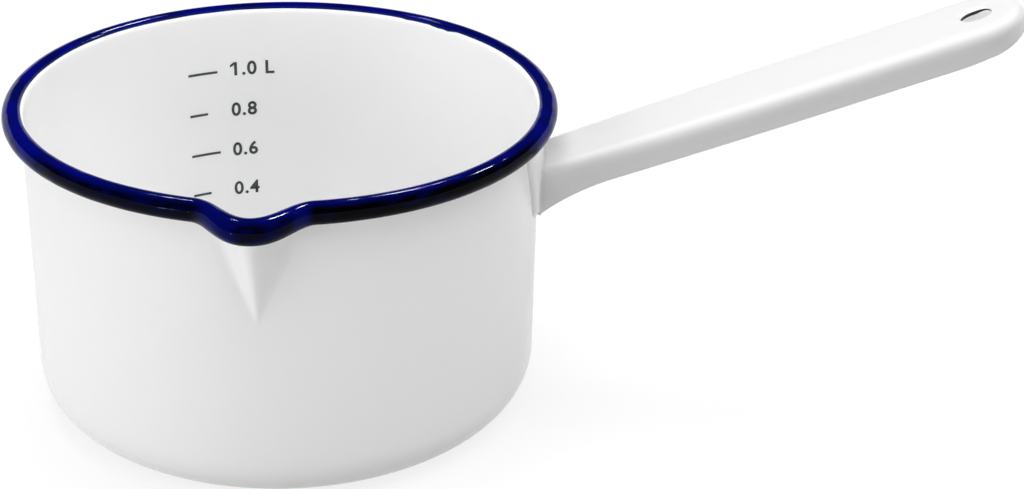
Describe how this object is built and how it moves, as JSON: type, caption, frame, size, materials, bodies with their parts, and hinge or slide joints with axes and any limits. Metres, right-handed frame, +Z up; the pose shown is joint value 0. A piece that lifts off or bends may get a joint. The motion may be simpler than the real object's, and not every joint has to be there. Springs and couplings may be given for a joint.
{
  "type": "milk pan",
  "caption": "Small enamelled-steel milk pan: deep round bowl with a rolled blue rim and a pouring lip, and a long sloping white handle of folded sheet with a hanging hole.",
  "frame": {"origin": "middle of the flat base, on the surface that the pan stands on", "axes": "+Z up along the bowl's axis, +X along the handle, -Y through the pouring lip"},
  "size_m": [0.2734, 0.1595, 0.1192],
  "materials": {
    "white_enamel": "gloss",
    "blue_enamel": "gloss",
    "mark_enamel": "satin"
  },
  "bodies": {
    "root": {"bowl": "white_enamel", "rim_enamel": "blue_enamel", "handle_shell": "white_enamel", "handle_saddle": "white_enamel", "measure_marks": "mark_enamel"}
  },
  "joints": []
}
